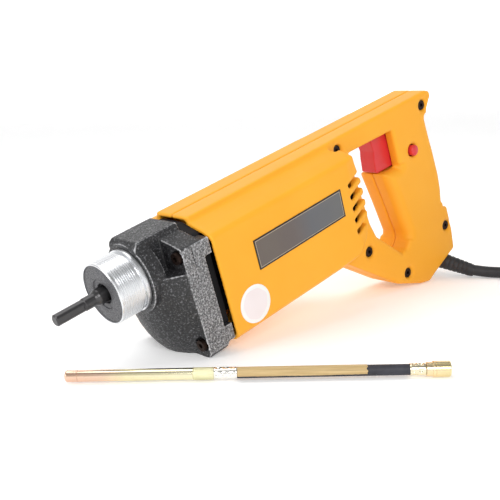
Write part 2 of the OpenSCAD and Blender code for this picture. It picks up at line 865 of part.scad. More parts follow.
place() shell_left();
place() shell_right();
place() shell_screws();
place() gear_case();
place() case_screws();
place() bearing_plate();
place() coupling_collar();
place() nose_disc();
place() shaft_seal();
place() nameplate();
place() badge();
place() output_shaft();
place() output_gear();
place() output_front_bearing();
place() output_rear_bearing();
place() armature_shaft();
place() armature_core();
place() armature_windings();
place() commutator();
place() cooling_fan();
place() pinion();
place() armature_front_bearing();
place() armature_rear_bearing();
place() stator_core();
place() stator_windings();
place() fan_baffle();
place() brush_holders();
place() carbon_brushes();
place() brush_springs();
place() trigger();
place() trigger_spring();
place() switch_body();
place() lock_button();
place() lock_spring();
place() capacitor();
place() lead_wires();
place() cord_clamp();
place() clamp_screws();
strain_relief();
cord_tube();
cord_coil();
coil_tie();
plug_body();
plug_pins();
poker_tip();
poker_tube();
poker_ring();
front_ferrule();
hose();
hose_sleeve();
rear_ferrule();
coupling_nut();
drive_core();
eccentric_rotor();
poker_bearings();
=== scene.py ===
"""Looks of the hand-held concrete vibrator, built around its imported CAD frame."""
import math

import bmesh
import bpy
import numpy as np
from mathutils import Matrix, Vector, noise


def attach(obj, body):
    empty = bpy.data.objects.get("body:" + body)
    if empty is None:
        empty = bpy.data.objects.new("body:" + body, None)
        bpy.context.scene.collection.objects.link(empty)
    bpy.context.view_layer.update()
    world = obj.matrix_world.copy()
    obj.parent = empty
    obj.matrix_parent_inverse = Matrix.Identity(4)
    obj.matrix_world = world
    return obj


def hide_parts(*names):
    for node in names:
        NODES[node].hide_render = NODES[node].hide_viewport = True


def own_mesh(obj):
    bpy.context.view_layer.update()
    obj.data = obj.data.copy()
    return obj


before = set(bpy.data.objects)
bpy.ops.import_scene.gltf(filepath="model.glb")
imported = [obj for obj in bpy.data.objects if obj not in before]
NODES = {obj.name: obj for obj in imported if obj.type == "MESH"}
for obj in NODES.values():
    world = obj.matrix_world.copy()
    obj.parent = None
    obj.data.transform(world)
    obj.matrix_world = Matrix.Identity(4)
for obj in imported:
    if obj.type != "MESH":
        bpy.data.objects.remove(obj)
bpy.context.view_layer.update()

MM = 0.001

# ---- frames ------------------------------------------------------------------------

# The tool's own frame (X along the output axis from the collar's face, in millimetres)
# stands on the bench nose down by REST_PITCH, on the chin's contact line.
REST_PITCH = math.radians(16)
CHIN = (46.0, -67.0)
TOOL = (Matrix.Rotation(-REST_PITCH, 4, "Y")
        @ Matrix.Translation((-CHIN[0] * MM, 0, -CHIN[1] * MM)) @ Matrix.Scale(MM, 4))
TOOL_INVERSE = TOOL.inverted()

# The poker lies on the bench, drawn at a reduced scale; its frame has X along its length.
POKER_SCALE = 0.22
POKER_LEN = 1127.0
NUT_R = 23.5
POKER_ANGLE = math.radians(-43)
POKER_TIP = Vector((-98 * MM, -5 * MM, 0))
POKER = (Matrix.Translation(POKER_TIP) @ Matrix.Rotation(POKER_ANGLE, 4, "Z")
         @ Matrix.Scale(POKER_SCALE * MM, 4) @ Matrix.Translation((0, 0, NUT_R)))
# Distance of the tip along the poker's own direction, from the bench's origin.
POKER_X0 = POKER_TIP.x * math.cos(POKER_ANGLE) + POKER_TIP.y * math.sin(POKER_ANGLE)
# Turns that lay a texture's X along the tool's axis and along the poker.
TOOL_TURN = (0, REST_PITCH, 0)
POKER_TURN = (0, 0, -POKER_ANGLE)


def placed(name, data):
    """A new object of the scene that holds the data."""
    made = bpy.data.objects.new(name, data)
    bpy.context.scene.collection.objects.link(made)
    return made


# ---- camera ------------------------------------------------------------------------

CAMERA_AT = Vector((-0.3509, -0.4769, 0.1945))
CAMERA_AIM = Vector((0.0694, 0.0, 0.0608))
CAMERA_ROLL = math.radians(1.67)
LENS_MM = 61.16


def make_camera():
    data = bpy.data.cameras.new("camera")
    data.lens = LENS_MM
    data.sensor_width = 36
    camera = placed("camera", data)
    turn = (CAMERA_AIM - CAMERA_AT).to_track_quat("-Z", "Y").to_matrix().to_4x4()
    camera.matrix_world = (Matrix.Translation(CAMERA_AT) @ turn
                           @ Matrix.Rotation(-CAMERA_ROLL, 4, "Z"))
    bpy.context.scene.camera = camera


make_camera()

# ---- materials ---------------------------------------------------------------------


def set_stops(ramp, stops):
    """Fills a colour ramp node with stops, each a position and a colour."""
    while len(ramp.color_ramp.elements) < len(stops):
        ramp.color_ramp.elements.new(0.5)
    for element, (at, color) in zip(ramp.color_ramp.elements, stops):
        element.position = at
        element.color = (*color, 1)


class Paint:
    """A procedural material being put together: one Principled shader and its textures."""

    def __init__(self, name, rough=0.5, metal=0.0, coat=0.0, sheen=0.0, specular=0.5):
        self.material = bpy.data.materials.new(name)
        self.material.use_nodes = True
        self.tree = self.material.node_tree
        self.shader = self.tree.nodes["Principled BSDF"]
        self.shader.inputs["Roughness"].default_value = rough
        self.shader.inputs["Metallic"].default_value = metal
        self.shader.inputs["Coat Weight"].default_value = coat
        self.shader.inputs["Coat Roughness"].default_value = 0.2
        self.shader.inputs["Sheen Weight"].default_value = sheen
        self.shader.inputs["Specular IOR Level"].default_value = specular
        self.place = self.node("ShaderNodeTexCoord").outputs["Object"]

    def node(self, kind, **settings):
        made = self.tree.nodes.new(kind)
        for key, value in settings.items():
            setattr(made, key, value)
        return made

    def link(self, a, b):
        self.tree.links.new(a, b)

    def stretched(self, scale, turn=(0, 0, 0)):
        """Object coordinates turned, then scaled, for a texture that has a direction."""
        first = self.node("ShaderNodeMapping")
        first.inputs["Rotation"].default_value = turn
        second = self.node("ShaderNodeMapping")
        second.inputs["Scale"].default_value = scale
        self.link(self.place, first.inputs["Vector"])
        self.link(first.outputs["Vector"], second.inputs["Vector"])
        return second.outputs["Vector"]

    def noise(self, scale, detail=3.0, rough=0.55, where=None):
        n = self.node("ShaderNodeTexNoise")
        n.inputs["Scale"].default_value = scale
        n.inputs["Detail"].default_value = detail
        n.inputs["Roughness"].default_value = rough
        self.link(where or self.place, n.inputs["Vector"])
        return n.outputs["Fac"]

    def ramp(self, source, *stops):
        """Colours at positions: ramp(source, (0.3, colour), (0.7, colour))."""
        n = self.node("ShaderNodeValToRGB")
        set_stops(n, stops)
        self.link(source, n.inputs["Fac"])
        return n.outputs["Color"]

    def levels(self, source, low, high, start=0.0, end=1.0):
        """Low where the source is at start, high where it is at end."""
        n = self.node("ShaderNodeMapRange")
        n.inputs["From Min"].default_value = start
        n.inputs["From Max"].default_value = end
        n.inputs["To Min"].default_value = low
        n.inputs["To Max"].default_value = high
        self.link(source, n.inputs["Value"])
        return n.outputs["Result"]

    def split(self, vector, axis):
        n = self.node("ShaderNodeSeparateXYZ")
        self.link(vector, n.inputs["Vector"])
        return n.outputs[axis]

    def along_poker(self):
        """0 at the poker's tip, 1 at its nut."""
        along = self.split(self.stretched((1, 1, 1), POKER_TURN), "X")
        return self.levels(along, 0, 1, POKER_X0, POKER_X0 + POKER_LEN * POKER_SCALE * MM)

    def mix(self, factor, a, b):
        """From a, where the factor is 0, to b. Each is a socket or a plain colour."""
        n = self.node("ShaderNodeMix", data_type="RGBA", blend_type="MIX")
        self.link(factor, n.inputs["Factor"])
        for value, socket in ((a, n.inputs["A"]), (b, n.inputs["B"])):
            if isinstance(value, tuple):
                socket.default_value = (*value, 1)
            else:
                self.link(value, socket)
        return n.outputs["Result"]

    def color(self, source):
        self.link(source, self.shader.inputs["Base Color"])

    def roughness(self, source):
        self.link(source, self.shader.inputs["Roughness"])

    def bump(self, height, depth_mm, strength):
        n = self.node("ShaderNodeBump")
        n.inputs["Strength"].default_value = strength
        n.inputs["Distance"].default_value = depth_mm * MM
        self.link(height, n.inputs["Height"])
        self.link(n.outputs["Normal"], self.shader.inputs["Normal"])


def plastic(name, color, shade, rough=0.42, grain=900, depth=0.05, coat=0.0, specular=0.5):
    """Moulded plastic: a slow colour drift, uneven gloss and a fine pebble grain."""
    p = Paint(name, rough=rough, coat=coat, specular=specular)
    p.color(p.ramp(p.noise(18, 2), (0.3, color), (0.75, shade)))
    p.roughness(p.levels(p.noise(60, 4), rough - 0.06, rough + 0.08))
    p.bump(p.noise(grain, 2), depth, 0.35)
    return p.material


def metal(name, color, shade, rough, scratches):
    """Bare metal with tool marks, which are long where the scratches' scale is small."""
    p = Paint(name, rough=rough, metal=1.0)
    marks = p.noise(1.0, 4, 0.6, p.stretched(scratches))
    p.color(p.ramp(p.noise(70, 3), (0.32, color), (0.72, shade)))
    p.roughness(p.levels(marks, max(rough - 0.1, 0.05), rough + 0.16))
    p.bump(marks, 0.02, 0.5)
    return p.material


# Pointiness at which the casting's painted edge highlight starts, and where it is full.
EDGE_HIGHLIGHT_AT = (0.525, 0.57)
# Distance from the centre plane at which the casting's side panels begin, in millimetres; beyond
# it the paint is painted paler, as painted light.
LIT_PANEL_FROM = (37.2, 37.7)


def hammered_paint():
    """Black hammer-finish paint: small worms with pale glints, a painted highlight on the edges,
    and side panels painted paler as painted light.
    """
    p = Paint("hammered_paint", rough=0.4, specular=0.6)
    worms = p.noise(760, 3, 0.6)
    dark = p.ramp(worms, (0.40, (0.004, 0.004, 0.005)), (0.56, (0.014, 0.014, 0.016)),
                  (0.70, (0.15, 0.15, 0.16)))
    # Paler tone of the side panels: painted light.
    pale = p.ramp(worms, (0.36, (0.04, 0.04, 0.042)), (0.50, (0.14, 0.14, 0.145)),
                  (0.64, (0.42, 0.42, 0.43)))
    # The flat side panels are painted paler than the rest: painted light, as if more light fell
    # on them.
    across = p.node("ShaderNodeMath", operation="ABSOLUTE")
    p.link(p.split(p.place, "Y"), across.inputs[0])
    lit_panel_mask = p.levels(across.outputs[0], 0, 1, LIT_PANEL_FROM[0] * MM, LIT_PANEL_FROM[1] * MM)
    # Painted highlight: where the pointiness marks an edge, the colour turns pale grey as if the
    # edge caught the light.
    edges = p.node("ShaderNodeNewGeometry").outputs["Pointiness"]
    skin = p.mix(lit_panel_mask, dark, pale)
    p.color(p.mix(p.levels(edges, 0, 1, *EDGE_HIGHLIGHT_AT), skin, (0.72, 0.72, 0.74)))
    p.roughness(p.levels(worms, 0.6, 0.34, 0.35, 0.65))
    p.bump(worms, 0.3, 0.7)
    return p.material


def graded_metal(name, rough, *stops):
    """Plated metal of the poker: the plating's tint drifts along the length."""
    p = Paint(name, rough=rough, metal=1.0)
    tint = p.ramp(p.along_poker(), *stops)
    haze = p.noise(160, 3)
    p.color(p.mix(p.levels(haze, 0, 0.35), tint, (0.60, 0.50, 0.30)))
    p.roughness(p.levels(p.noise(1.0, 3, 0.6, p.stretched((300, 3000, 3000), POKER_TURN)),
                         rough - 0.05, rough + 0.1))
    return p.material


# Where the nameplate's tint starts and ends, in metres along the tool's axis.
PLATE_TINT = (0.075, 0.168)


def printed_plate():
    """Field of the nameplate: warm grey at the front end, blue grey along the rest."""
    p = Paint("nameplate_field", rough=0.38, coat=0.3)
    along = p.split(p.stretched((1, 1, 1), TOOL_TURN), "X")
    tone = p.ramp(p.levels(along, 0, 1, *PLATE_TINT), (0.0, (0.098, 0.072, 0.058)),
                  (0.22, (0.090, 0.064, 0.062)), (0.42, (0.088, 0.095, 0.112)),
                  (0.75, (0.100, 0.108, 0.118)), (1.0, (0.098, 0.100, 0.092)))
    p.color(p.mix(p.levels(p.noise(45, 4), 0, 0.5), tone, (0.135, 0.120, 0.100)))
    p.roughness(p.levels(p.noise(120, 3), 0.3, 0.48))
    p.bump(p.noise(900, 2), 0.02, 0.3)
    return p.material


def tan_wrap():
    """Tan packing sleeve with soft streaks along it."""
    p = Paint("tan_wrap", rough=0.5, sheen=0.15)
    streaks = p.noise(1.0, 4, 0.6, p.stretched((22, 700, 700), POKER_TURN))
    p.color(p.ramp(streaks, (0.32, (0.40, 0.27, 0.105)), (0.55, (0.56, 0.40, 0.18)),
                   (0.75, (0.66, 0.50, 0.27))))
    p.roughness(p.levels(streaks, 0.4, 0.62))
    p.bump(p.noise(1.0, 3, 0.6, p.stretched((1200, 500, 500), POKER_TURN)), 0.05, 0.5)
    return p.material


def speckled(name, dark, pale, rough):
    """Cast or sintered surface: a fine mottle of two tones."""
    p = Paint(name, rough=rough)
    grains = p.noise(1100, 3, 0.6)
    p.color(p.ramp(grains, (0.36, dark), (0.66, pale)))
    p.roughness(p.levels(grains, rough + 0.08, rough - 0.08))
    p.bump(grains, 0.08, 0.5)
    return p.material


def turned_metal(name, color, rough, ring_mm, turn, depth=0.03):
    """Lathe-turned metal: fine rings across the axis and a slight haze."""
    p = Paint(name, rough=rough, metal=1.0)
    rings = p.noise(1.0, 2, 0.5, p.stretched((1 / (ring_mm * MM), 12, 12), turn))
    haze = p.noise(90, 3)
    p.color(p.mix(p.levels(haze, 0, 0.6), color, tuple(0.75 * c for c in color)))
    p.roughness(p.levels(rings, rough - 0.04, rough + 0.08))
    p.bump(rings, depth, 0.35)
    return p.material


def rubber(name, color):
    """Matt black rubber with a fine grain."""
    p = Paint(name, rough=0.55)
    p.color(p.ramp(p.noise(120, 3), (0.3, color), (0.8, tuple(2.4 * c for c in color))))
    p.roughness(p.levels(p.noise(300, 3), 0.46, 0.66))
    p.bump(p.noise(1400, 2), 0.04, 0.4)
    return p.material


ORANGE = plastic("orange_abs", (0.90, 0.39, 0.022), (0.92, 0.42, 0.028), 0.48, 700, 0.04,
                 specular=0.28)
RED = plastic("red_abs", (0.60, 0.020, 0.026), (0.68, 0.030, 0.036), 0.36, 800, 0.03, 0.1)
BLACK = plastic("black_nylon", (0.008, 0.008, 0.009), (0.016, 0.016, 0.018), 0.55, 700, 0.06,
                specular=0.15)
CASTING = hammered_paint()
GREY_DISC = speckled("grey_disc", (0.035, 0.035, 0.038), (0.16, 0.16, 0.17), 0.55)
ALUMINIUM = turned_metal("turned_aluminium", (0.86, 0.87, 0.89), 0.26, 0.5, TOOL_TURN, 0.004)
SHAFT_STEEL = turned_metal("shaft_steel", (0.09, 0.088, 0.09), 0.32, 0.5, TOOL_TURN)
STEEL = metal("ground_steel", (0.55, 0.56, 0.58), (0.42, 0.43, 0.45), 0.3, (300, 2500, 2500))
BRIGHT = turned_metal("bearing_steel", (0.66, 0.67, 0.68), 0.18, 0.4, TOOL_TURN)
# Near-black screw heads, made dark as painted shade so that the screw recesses look shaded.
DARK_SCREW_SHADE = metal("screw_heads_dark_as_shade", (0.050, 0.032, 0.026), (0.030, 0.020, 0.017), 0.5,
                (900, 900, 900))
LAMINATIONS = turned_metal("laminated_steel", (0.20, 0.20, 0.215), 0.45, 0.5, TOOL_TURN, 0.12)
COPPER = metal("enamelled_copper", (0.60, 0.24, 0.09), (0.42, 0.15, 0.05), 0.32,
               (200, 3500, 3500))
BRASS = metal("cast_brass", (0.72, 0.53, 0.24), (0.58, 0.42, 0.18), 0.34, (400, 2600, 2600))
CARBON = speckled("brush_carbon", (0.012, 0.012, 0.013), (0.05, 0.05, 0.052), 0.6)
FILM = plastic("yellow_film", (0.62, 0.40, 0.04), (0.56, 0.35, 0.035), 0.3, 400, 0.02, 0.4)
BLUE_WIRE = plastic("blue_pvc", (0.03, 0.10, 0.38), (0.04, 0.13, 0.44), 0.4, 500, 0.02)
PLATE_BORDER = plastic("plate_border", (0.006, 0.006, 0.006), (0.012, 0.011, 0.011), 0.4)
PLATE_LINE = plastic("plate_line", (0.42, 0.35, 0.26), (0.36, 0.30, 0.22), 0.4)
PLATE_FIELD = printed_plate()
BADGE_WHITE = plastic("badge_white", (0.90, 0.90, 0.88), (0.86, 0.86, 0.85), 0.45, 600, 0.02)
BADGE_PINK = plastic("badge_pink", (0.80, 0.70, 0.70), (0.86, 0.80, 0.81), 0.5, 500, 0.03)
HEAD_METAL = graded_metal("plated_head", 0.17, (0.0, (0.85, 0.55, 0.42)),
                          (0.10, (0.86, 0.62, 0.48)), (0.16, (0.88, 0.80, 0.52)),
                          (0.36, (0.90, 0.86, 0.62)))
RING_METAL = graded_metal("plated_ring", 0.38, (0.3, (0.78, 0.76, 0.47)),
                          (0.45, (0.82, 0.80, 0.55)))
FERRULE_METAL = graded_metal("ferrule_plate", 0.12, (0.5, (0.92, 0.92, 0.90)),
                             (0.9, (0.92, 0.84, 0.62)))
NUT_METAL = graded_metal("plated_nut", 0.2, (0.93, (0.92, 0.74, 0.48)),
                         (1.0, (0.86, 0.74, 0.40)))
TAN = tan_wrap()
RUBBER = rubber("rubber_cord", (0.012, 0.012, 0.014))
HOSE_RUBBER = rubber("hose_rubber", (0.016, 0.016, 0.022))

# ---- mesh tools --------------------------------------------------------------------


def add_mesh(name, vertices, faces):
    mesh = bpy.data.meshes.new(name)
    mesh.from_pydata([tuple(v) for v in vertices], [], faces)
    mesh.validate()
    mesh.update()
    return placed(name, mesh)


def outward(mesh, merge=0):
    """Turns every face outward, after merging points closer than merge."""
    bm = bmesh.new()
    bm.from_mesh(mesh)
    if merge:
        bmesh.ops.remove_doubles(bm, verts=bm.verts, dist=merge)
    bmesh.ops.recalc_face_normals(bm, faces=bm.faces)
    bm.to_mesh(mesh)
    bm.free()


def apply_modifiers(o):
    shown = bpy.context.evaluated_depsgraph_get()
    shown.update()
    mesh = bpy.data.meshes.new_from_object(o.evaluated_get(shown))
    o.modifiers.clear()
    old, o.data = o.data, mesh
    bpy.data.meshes.remove(old)
    return o


def smooth_shading(o, degrees=None):
    o.data.polygons.foreach_set("use_smooth", [True] * len(o.data.polygons))
    if degrees is not None:
        o.data.set_sharp_from_angle(angle=math.radians(degrees))
    o.data.update()


def finish_piece(o, body, material, slot, *nodes, sharp=None):
    """Gives a piece its material and body, and hides the CAD nodes it replaces. The slot argument
    is not used.
    """
    o.data.materials.clear()
    o.data.materials.append(material)
    smooth_shading(o, sharp)
    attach(o, body)
    if nodes:
        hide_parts(*nodes)
    return o


def copy_node(name, node):
    """A copy of a CAD node's mesh, to be reshaped into the piece that replaces it."""
    mesh = NODES[node].data.copy()
    mesh.name = name
    outward(mesh, 1e-6)
    return placed(name, mesh)


def join(o, *others):
    bpy.ops.object.select_all(action="DESELECT")
    for other in others:
        other.select_set(True)
    o.select_set(True)
    bpy.context.view_layer.objects.active = o
    bpy.ops.object.join()
    return o


def cut(o, tool):
    """Takes the tool's solid out of o."""
    m = o.modifiers.new("cut", "BOOLEAN")
    m.operation = "DIFFERENCE"
    m.solver = "EXACT"
    m.object = tool
    apply_modifiers(o)
    bpy.data.objects.remove(tool)


def remesh(o, voxel_mm, rounds):
    """Rounds every edge a little, as moulding and casting do."""
    m = o.modifiers.new("remesh", "REMESH")
    m.mode = "VOXEL"
    m.voxel_size = voxel_mm * MM
    s = o.modifiers.new("smooth", "SMOOTH")
    s.factor = 0.5
    s.iterations = rounds
    return apply_modifiers(o)


def thin_out(o, share):
    """Merges the small faces of a remeshed surface where it is flat."""
    m = o.modifiers.new("thin_out", "DECIMATE")
    m.ratio = share
    return apply_modifiers(o)


def points_of(o):
    co = np.empty(len(o.data.vertices) * 3)
    o.data.vertices.foreach_get("co", co)
    return co.reshape(-1, 3)


def set_points(o, co):
    o.data.vertices.foreach_set("co", co.astype(np.float32).ravel())
    o.data.update()


def to_frame(co, matrix):
    """Points, one a row, carried into another frame."""
    m = np.array(matrix)
    return co @ m[:3, :3].T + m[:3, 3]


def prism(name, outline, low, high, along="Y"):
    """Closed solid: an outline extruded along the tool frame's Y or Z axis."""
    n = len(outline)

    def put(p, level):
        return TOOL @ Vector((p[0], level, p[1]) if along == "Y" else (*p, level))

    vertices = [put(p, low) for p in outline] + [put(p, high) for p in outline]
    faces = [[i, (i + 1) % n, n + (i + 1) % n, n + i] for i in range(n)]
    faces += [list(range(n - 1, -1, -1)), list(range(n, 2 * n))]
    made = add_mesh(name, vertices, faces)
    outward(made.data)
    return made


def spread(a, b, step):
    """Numbers from a to b about one step apart."""
    n = max(round((b - a) / step), 1)
    return [a + (b - a) * i / n for i in range(n + 1)]


def inset(outline, d):
    """A convex outline drawn in by d on every side."""
    middle = sum((Vector(p) for p in outline), Vector((0, 0))) / len(outline)
    lines = []
    for a, b in zip(outline, outline[1:] + outline[:1]):
        a, b = Vector(a), Vector(b)
        across = Vector((a.y - b.y, b.x - a.x)).normalized()
        if across.dot(middle - a) < 0:
            across = -across
        lines.append((a + across * d, b - a))
    made = []
    for (p, u), (q, v) in zip(lines[-1:] + lines[:-1], lines):
        t = (q - p).cross(v) / u.cross(v)
        made.append(tuple(p + u * t))
    return made


def frame_strip(name, outer, inner, low, high):
    """A flat frame between two outlines in the tool's X and Z, from Y = low to Y = high."""
    n = len(outer)
    vertices = [TOOL @ Vector((p[0], y, p[1]))
                for y in (low, high) for ring in (outer, inner) for p in ring]
    faces = []
    for i in range(n):
        m = (i + 1) % n
        faces += [[i, m, n + m, n + i], [2 * n + i, 3 * n + i, 3 * n + m, 2 * n + m],
                  [i, 2 * n + i, 2 * n + m, m], [n + i, n + m, 3 * n + m, 3 * n + i]]
    made = add_mesh(name, vertices, faces)
    outward(made.data)
    return made


def bevel(o, width_mm):
    m = o.modifiers.new("bevel", "BEVEL")
    m.width = width_mm * MM
    m.segments = 2
    m.limit_method = "ANGLE"
    m.angle_limit = math.radians(30)
    m.harden_normals = False
    return apply_modifiers(o)


def lathe(name, profile, place, sides=96, radius=None):
    """Solid of revolution about the X axis of a frame. radius(x, r, angle) may reshape it."""
    vertices, faces = [], []
    for x, r in profile:
        for k in range(sides):
            a = 2 * math.pi * k / sides
            out = radius(x, r, a) if radius else r
            vertices.append(place @ Vector((x, out * math.cos(a), out * math.sin(a))))
    for i in range(len(profile) - 1):
        for k in range(sides):
            m = (k + 1) % sides
            faces.append([i * sides + k, (i + 1) * sides + k, (i + 1) * sides + m, i * sides + m])
    closed = profile[0] == profile[-1]
    if not closed:
        faces.append(list(range(sides)))
        faces.append([(len(profile) - 1) * sides + k for k in range(sides - 1, -1, -1)])
    made = add_mesh(name, vertices, faces)
    outward(made.data, 1e-7 if closed else 0)
    return made


# ---- cord --------------------------------------------------------------------------

CORD_D = 10.0
# The cord's points in millimetres, from the boot to the coil and from the coil to the plug.
CORD_ROUTE = [(313, -33, 7.5), (318, -41, 6.2), (325, -50, 5.2), (334, -60, 5), (345, -70, 5),
              (357, -79, 5), (368, -88, 5), (378, -97, 5)]
TAIL_ROUTE = [(404, -146, 25), (404, -160, 25), (405, -174, 23), (407, -188, 18),
              (410, -201, 12), (415, -214, 7.5), (421, -226, 6.5), (429, -237, 6.5)]
COIL_AT = (344.0, -146.0)
# Radius and height of each turn, from where the cord comes in to the top of the coil.
COIL_TURNS = [(60, 5), (50, 5), (50, 15), (60, 15), (60, 25), (60, 25)]
# Angle, in degrees, at which the cord meets the coil.
COIL_START = 40
TURN_POINTS = 24
# Share of a turn in which the cord steps over to the next, and how much sooner each one is.
STEP_SHARE = 0.14
STEP_SOONER = 0.06


def coil_points():
    """Clockwise turns, from the bottom of the coil up to where the tail leaves at angle 0."""
    sweep = COIL_START + 360 * (len(COIL_TURNS) - 1)
    total = round(TURN_POINTS * sweep / 360)
    made = []
    for i in range(total):
        gone = sweep * i / total
        k = min(int(gone // 360), len(COIL_TURNS) - 2)
        # Each step to the next turn starts a little earlier, so the turns never meet.
        start = 1 - STEP_SHARE - STEP_SOONER * k
        step = min(max((gone / 360 - k - start) / STEP_SHARE, 0), 1)
        step = step * step * (3 - 2 * step)
        r, z = (a + (b - a) * step for a, b in zip(COIL_TURNS[k], COIL_TURNS[k + 1]))
        angle = math.radians(COIL_START - gone)
        made.append((COIL_AT[0] + r * math.cos(angle), COIL_AT[1] + r * math.sin(angle), z))
    return made


def cord_curve():
    """The cord as one smooth curve, and the length of the line through its points."""
    route = CORD_ROUTE + coil_points() + TAIL_ROUTE
    data = bpy.data.curves.new("mains_cord", "CURVE")
    data.dimensions = "3D"
    data.bevel_depth = CORD_D / 2 * MM
    data.bevel_resolution = 5
    data.use_fill_caps = True
    data.resolution_u = 6
    spline = data.splines.new("NURBS")
    spline.points.add(len(route) - 1)
    for point, at in zip(spline.points, route):
        point.co = (*(c * MM for c in at), 1)
    spline.order_u = 4
    spline.use_endpoint_u = True
    length = sum(math.dist(a, b) for a, b in zip(route, route[1:])) * MM
    return placed("mains_cord", data), length


BOOT_ROOT = Vector((299, -1, 17)) * MM
BOOT_END = Vector(CORD_ROUTE[0]) * MM
# Radius of the boot at its root and at its end.
BOOT_R = (7.9, 6.0)
# Where the grooves round the boot start, how far apart they are, their width and depth.
GROOVES_FROM = 12
GROOVE_PITCH = 4.2
GROOVE_WIDTH = 1.3
GROOVE_DEPTH = 0.35


def make_boot():
    """Moulded strain relief: a tapered rubber boot with grooves cut round it."""
    length = (BOOT_END - BOOT_ROOT).length / MM
    turn = (BOOT_END - BOOT_ROOT).to_track_quat("X", "Z").to_matrix().to_4x4()
    place = Matrix.Translation(BOOT_ROOT) @ turn @ Matrix.Scale(MM, 4)

    def ribbed(x, r, _):
        in_groove = (x - GROOVES_FROM) % GROOVE_PITCH < GROOVE_WIDTH
        return r - GROOVE_DEPTH if in_groove and GROOVES_FROM < x < length - 1 else r

    profile = [(x, BOOT_R[0] + (BOOT_R[1] - BOOT_R[0]) * max(x, 0) / length)
               for x in spread(-5, length, 0.45)]
    profile[0] = (-5, 6.2)
    profile += [(length + 2.5, 5.6), (length + 4.5, 5.15)]
    return finish_piece(lathe("cord_boot", profile, place, 64, ribbed), "root", RUBBER,
                        "black_rubber", "strain_relief", sharp=50)


BOOT = make_boot()
CORD, CORD_LENGTH = cord_curve()
CORD.data.materials.append(RUBBER)
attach(CORD, "root")
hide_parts("cord_tube", "cord_coil")

# ---- shells ------------------------------------------------------------------------

SHELL_VOXEL = 0.9
# Share of the faces that a finished shell keeps.
SHELL_KEPT = 0.35
# The handle's half-width, and where it starts along the tool.
HANDLE_HALF = 18.0
HANDLE_FROM = 226
# Edge radius of the handle, and where it differs: x from and to, z from and to, radius.
EDGE_R = 3.0
EDGE_ZONES = ((274, 300, -92, -22, 9.0), (336, math.inf, -78, 8, 7.0),
              (-math.inf, math.inf, 20, math.inf, 2.0))
# How far in from the side face points may be drawn, a little more than the largest radius.
EDGE_REACH = 9.5


def side_outline(node):
    """Segments (x, z pairs in the tool frame) round the flat side face of the handle."""
    co = to_frame(points_of(NODES[node]), TOOL_INVERSE)
    count = {}
    for face in NODES[node].data.polygons:
        ring = [tuple(np.round(co[i], 3)) for i in face.vertices]
        if all(abs(abs(p[1]) - HANDLE_HALF) < 0.02 for p in ring):
            for a, b in zip(ring, ring[1:] + ring[:1]):
                key = (a, b) if a < b else (b, a)
                count[key] = count.get(key, 0) + 1
    edges = [k for k, v in count.items() if v == 1]
    return np.array([[(a[0], a[2]), (b[0], b[2])] for a, b in edges])


def distance_to(segments, points):
    """Each point's distance to the nearest segment, and the place it is nearest to."""
    best = np.full(len(points), 1e9)
    where = np.zeros((len(points), 2))
    for a, b in segments:
        d = b - a
        size = max(float(d @ d), 1e-12)
        t = np.clip(((points - a) @ d) / size, 0, 1)
        near = a + t[:, None] * d
        gap = np.hypot(*(points - near).T)
        closer = gap < best
        best[closer] = gap[closer]
        where[closer] = near[closer]
    return best, where


def edge_radius(where):
    """How round the handle's edge is: full on the grip, slight along the top."""
    x, z = where[:, 0], where[:, 1]
    r = np.full(len(where), EDGE_R)
    for x_low, x_high, z_low, z_high, radius in EDGE_ZONES:
        r[(x > x_low) & (x < x_high) & (z > z_low) & (z < z_high)] = radius
    return r


def round_handle(o, node):
    """Draws the points near the handle's outline in, onto a quarter round."""
    co = to_frame(points_of(o), TOOL_INVERSE)
    out = np.abs(co[:, 1])
    near = np.nonzero((out > HANDLE_HALF - EDGE_REACH) & (co[:, 0] > HANDLE_FROM)
                      & (out < HANDLE_HALF + 0.6))[0]
    gap, where = distance_to(side_outline(node), co[near][:, [0, 2]])
    r = edge_radius(where)
    past = np.clip(r - gap, 0, None)
    limit = HANDLE_HALF - r + np.sqrt(np.clip(r * r - past * past, 0, None))
    y = co[near, 1]
    co[near, 1] = np.sign(y) * np.minimum(np.abs(y), np.where(gap < r, limit, math.inf))
    set_points(o, to_frame(co, TOOL))


def make_shell(name, node):
    """One moulded half: softened edges, and a handle rounded to the hand."""
    o = remesh(copy_node(name, node), SHELL_VOXEL, 2)
    round_handle(o, node)
    remesh(o, SHELL_VOXEL, 6)
    thin_out(o, SHELL_KEPT)
    finish_piece(o, "root", ORANGE, "orange_shell", node)


def make_vent_shade_sheet():
    """Black sheet behind the vents, against the shells' inner walls: painted shade, so that the
    vent slots look dark.
    """
    rear = [(211.0, 12.0), (211.0, 5.0), (218.6, -22.0), (214.8, -43.2), (202.5, -54.5)]
    thick, half_width = 0.8, 33.6
    band = rear + [(x - thick, z) for x, z in reversed(rear)]
    parts = [prism("vent_shade_sheet", band, -half_width, half_width)]
    side = [(199.5, 12), (210.6, 12), (210.6, 5), (213.0, -22), (212.0, -43), (201.5, -53)]
    for y in (-half_width - thick, half_width + 0.1):
        parts.append(prism("shade_sheet_side", side, y, y + 0.7))
    finish_piece(join(*parts), "root", BLACK, "black_plastic", sharp=30)


make_shell("left_shell", "shell_left")
make_shell("right_shell", "shell_right")
# The black sheet behind the vents is painted shade.
make_vent_shade_sheet()

# ---- gear case ---------------------------------------------------------------------

BEAD_R = 0.75
# How far a bead stands out, in radii, and where its foot is, inside the side panel.
BEAD_RISE = 2.2
BEAD_FOOT = -37.2
# Height of the casting's uneven skin, in millimetres, and its lumps to the metre.
SKIN_DEPTH = 0.12
SKIN_LUMPS = 420


def side_bead(x, low, high):
    """An upright bead on the near side face of the casting."""
    arc = [(x + BEAD_R * math.cos(a), BEAD_FOOT - BEAD_RISE * BEAD_R * math.sin(a))
           for a in (math.pi * k / 8 for k in range(9))]
    return prism("bead", arc, low, high, "Z")


